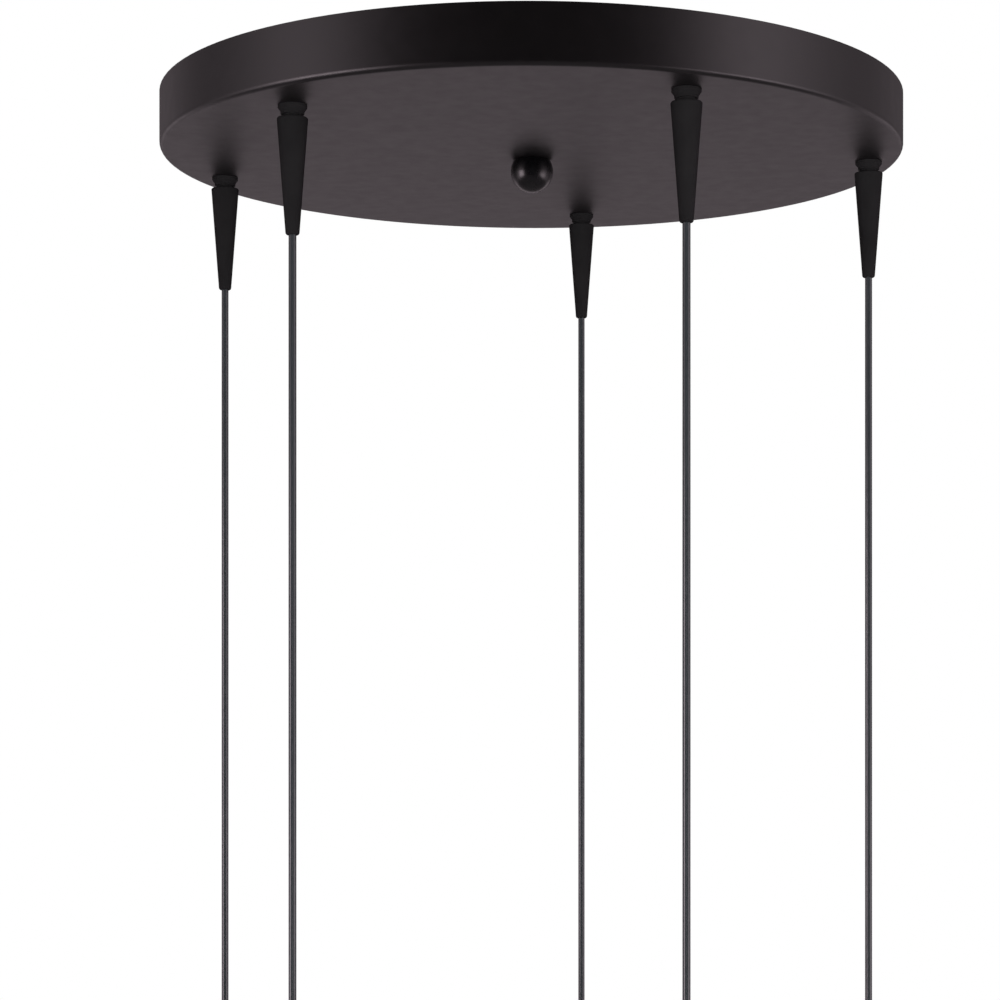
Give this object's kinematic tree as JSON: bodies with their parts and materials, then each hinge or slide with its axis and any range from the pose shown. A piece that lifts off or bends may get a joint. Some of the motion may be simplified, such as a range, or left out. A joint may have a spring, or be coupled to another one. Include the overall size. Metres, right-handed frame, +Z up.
{
  "type": "cluster pendant light",
  "caption": "Round ceiling canopy with a ball finial and tapered cord grips, from which thin cords hang straight down, each to a lamp holder; the middle of a cluster pendant.",
  "frame": {"origin": "centre of the canopy in the ceiling plane, midway between the crossbar's two box-screw slots", "axes": "+Z up towards the ceiling, +X along the crossbar to the viewer's right, the picture's viewer stands on the -Y side"},
  "size_m": [0.3605, 0.35, 0.517],
  "materials": {
    "canopy_paint": "satin black powder coat",
    "finial_paint": "satin black paint on a turned ball",
    "grip_plastic": "moulded black nylon, matt",
    "collet_plastic": "natural nylon",
    "cord_jacket": "round black flexible cord, smooth satin jacket",
    "line_insulation": "black wire insulation",
    "neutral_insulation": "white wire insulation",
    "connector_plastic": "red moulded cap",
    "zinc_steel": "zinc plated steel",
    "ground_green": "green painted screw",
    "holder_paint": "satin black paint",
    "holder_plastic": "moulded black phenolic",
    "socket_brass": "plain brass"
  },
  "bodies": {
    "ceiling_mount": {"ceiling_crossbar": "zinc_steel", "centre_stud": "zinc_steel", "stud_locknut": "zinc_steel", "ground_screw": "ground_green"},
    "canopy": {"canopy_pan": "canopy_paint", "gland_nuts": "zinc_steel", "gland_washers": "zinc_steel", "cord_tails": "cord_jacket", "wire_connectors": "connector_plastic", "line_cores": "line_insulation", "neutral_cores": "neutral_insulation", "gland_collar_1": "grip_plastic", "gland_collar_2": "grip_plastic", "gland_collar_3": "grip_plastic", "gland_collar_4": "grip_plastic", "gland_collar_5": "grip_plastic"},
    "finial": {"ball_finial": "finial_paint"},
    "grip_1": {"grip_collet_1": "collet_plastic"},
    "cone_1": {"grip_cone_1": "grip_plastic"},
    "bend_1": {"cord_bend_1": "cord_jacket"},
    "pendant_1": {"cord_drop_1": "cord_jacket", "holder_cap_1": "holder_paint", "holder_body_1": "holder_plastic", "socket_contacts_1": "socket_brass"},
    "ring_1": {"shade_ring_1": "holder_plastic"},
    "grip_2": {"grip_collet_2": "collet_plastic"},
    "cone_2": {"grip_cone_2": "grip_plastic"},
    "bend_2": {"cord_bend_2": "cord_jacket"},
    "pendant_2": {"cord_drop_2": "cord_jacket", "holder_cap_2": "holder_paint", "holder_body_2": "holder_plastic", "socket_contacts_2": "socket_brass"},
    "ring_2": {"shade_ring_2": "holder_plastic"},
    "grip_3": {"grip_collet_3": "collet_plastic"},
    "cone_3": {"grip_cone_3": "grip_plastic"},
    "bend_3": {"cord_bend_3": "cord_jacket"},
    "pendant_3": {"cord_drop_3": "cord_jacket", "holder_cap_3": "holder_paint", "holder_body_3": "holder_plastic", "socket_contacts_3": "socket_brass"},
    "ring_3": {"shade_ring_3": "holder_plastic"},
    "grip_4": {"grip_collet_4": "collet_plastic"},
    "cone_4": {"grip_cone_4": "grip_plastic"},
    "bend_4": {"cord_bend_4": "cord_jacket"},
    "pendant_4": {"cord_drop_4": "cord_jacket", "holder_cap_4": "holder_paint", "holder_body_4": "holder_plastic", "socket_contacts_4": "socket_brass"},
    "ring_4": {"shade_ring_4": "holder_plastic"},
    "grip_5": {"grip_collet_5": "collet_plastic"},
    "cone_5": {"grip_cone_5": "grip_plastic"},
    "bend_5": {"cord_bend_5": "cord_jacket"},
    "pendant_5": {"cord_drop_5": "cord_jacket", "holder_cap_5": "holder_paint", "holder_body_5": "holder_plastic", "socket_contacts_5": "socket_brass"},
    "ring_5": {"shade_ring_5": "holder_plastic"}
  },
  "joints": [
    {"name": "canopy_drop", "type": "slide", "parent": "ceiling_mount", "child": "canopy", "axis": [0, 0, -1], "range_m": [0, 0.00564]},
    {"name": "finial_turn", "type": "hinge", "parent": "canopy", "child": "finial", "pos_m": [0, 0, -0.0308], "axis": [0, 0, -1], "range_deg": [0, 2163]},
    {"name": "grip_release_1", "type": "slide", "parent": "canopy", "child": "grip_1", "axis": [0, 0, -1], "range_m": [0, 0.003]},
    {"name": "cone_turn_1", "type": "hinge", "parent": "grip_1", "child": "cone_1", "pos_m": [-0.1013, -0.1081, -0.056], "axis": [0, 0, -1], "range_deg": [0, 1081]},
    {"name": "swing_x_1", "type": "hinge", "parent": "grip_1", "child": "bend_1", "pos_m": [-0.1013, -0.1081, -0.0795], "axis": [1, 0, 0], "range_deg": [-8, 8]},
    {"name": "swing_y_1", "type": "hinge", "parent": "bend_1", "child": "pendant_1", "pos_m": [-0.1013, -0.1081, -0.0795], "axis": [0, 1, 0], "range_deg": [-8, 8]},
    {"name": "ring_travel_1", "type": "slide", "parent": "pendant_1", "child": "ring_1", "axis": [0, 0, -1], "range_m": [0, 0.0185]},
    {"name": "grip_release_2", "type": "slide", "parent": "canopy", "child": "grip_2", "axis": [0, 0, -1], "range_m": [0, 0.003]},
    {"name": "cone_turn_2", "type": "hinge", "parent": "grip_2", "child": "cone_2", "pos_m": [0.0657, -0.1359, -0.056], "axis": [0, 0, -1], "range_deg": [0, 1081]},
    {"name": "swing_x_2", "type": "hinge", "parent": "grip_2", "child": "bend_2", "pos_m": [0.0657, -0.1359, -0.0795], "axis": [1, 0, 0], "range_deg": [-8, 8]},
    {"name": "swing_y_2", "type": "hinge", "parent": "bend_2", "child": "pendant_2", "pos_m": [0.0657, -0.1359, -0.0795], "axis": [0, 1, 0], "range_deg": [-8, 8]},
    {"name": "ring_travel_2", "type": "slide", "parent": "pendant_2", "child": "ring_2", "axis": [0, 0, -1], "range_m": [0, 0.0185]},
    {"name": "grip_release_3", "type": "slide", "parent": "canopy", "child": "grip_3", "axis": [0, 0, -1], "range_m": [0, 0.003]},
    {"name": "cone_turn_3", "type": "hinge", "parent": "grip_3", "child": "cone_3", "pos_m": [0.161, 0.0029, -0.056], "axis": [0, 0, -1], "range_deg": [0, 1081]},
    {"name": "swing_x_3", "type": "hinge", "parent": "grip_3", "child": "bend_3", "pos_m": [0.161, 0.0029, -0.0795], "axis": [1, 0, 0], "range_deg": [-8, 8]},
    {"name": "swing_y_3", "type": "hinge", "parent": "bend_3", "child": "pendant_3", "pos_m": [0.161, 0.0029, -0.0795], "axis": [0, 1, 0], "range_deg": [-8, 8]},
    {"name": "ring_travel_3", "type": "slide", "parent": "pendant_3", "child": "ring_3", "axis": [0, 0, -1], "range_m": [0, 0.0185]},
    {"name": "grip_release_4", "type": "slide", "parent": "canopy", "child": "grip_4", "axis": [0, 0, -1], "range_m": [0, 0.003]},
    {"name": "cone_turn_4", "type": "hinge", "parent": "grip_4", "child": "cone_4", "pos_m": [0.0251, 0.1351, -0.056], "axis": [0, 0, -1], "range_deg": [0, 1081]},
    {"name": "swing_x_4", "type": "hinge", "parent": "grip_4", "child": "bend_4", "pos_m": [0.0251, 0.1351, -0.0795], "axis": [1, 0, 0], "range_deg": [-8, 8]},
    {"name": "swing_y_4", "type": "hinge", "parent": "bend_4", "child": "pendant_4", "pos_m": [0.0251, 0.1351, -0.0795], "axis": [0, 1, 0], "range_deg": [-8, 8]},
    {"name": "ring_travel_4", "type": "slide", "parent": "pendant_4", "child": "ring_4", "axis": [0, 0, -1], "range_m": [0, 0.0185]},
    {"name": "grip_release_5", "type": "slide", "parent": "canopy", "child": "grip_5", "axis": [0, 0, -1], "range_m": [0, 0.003]},
    {"name": "cone_turn_5", "type": "hinge", "parent": "grip_5", "child": "cone_5", "pos_m": [-0.1525, 0.0401, -0.056], "axis": [0, 0, -1], "range_deg": [0, 1081]},
    {"name": "swing_x_5", "type": "hinge", "parent": "grip_5", "child": "bend_5", "pos_m": [-0.1525, 0.0401, -0.0795], "axis": [1, 0, 0], "range_deg": [-8, 8]},
    {"name": "swing_y_5", "type": "hinge", "parent": "bend_5", "child": "pendant_5", "pos_m": [-0.1525, 0.0401, -0.0795], "axis": [0, 1, 0], "range_deg": [-8, 8]},
    {"name": "ring_travel_5", "type": "slide", "parent": "pendant_5", "child": "ring_5", "axis": [0, 0, -1], "range_m": [0, 0.0185]}
  ],
  "couplings": [
    {"joint": "finial_turn", "follows": "canopy_drop", "rad_per_m": 6684.2},
    {"joint": "cone_turn_1", "follows": "grip_release_1", "rad_per_m": 6283.2},
    {"joint": "cone_turn_2", "follows": "grip_release_2", "rad_per_m": 6283.2},
    {"joint": "cone_turn_3", "follows": "grip_release_3", "rad_per_m": 6283.2},
    {"joint": "cone_turn_4", "follows": "grip_release_4", "rad_per_m": 6283.2},
    {"joint": "cone_turn_5", "follows": "grip_release_5", "rad_per_m": 6283.2}
  ]
}
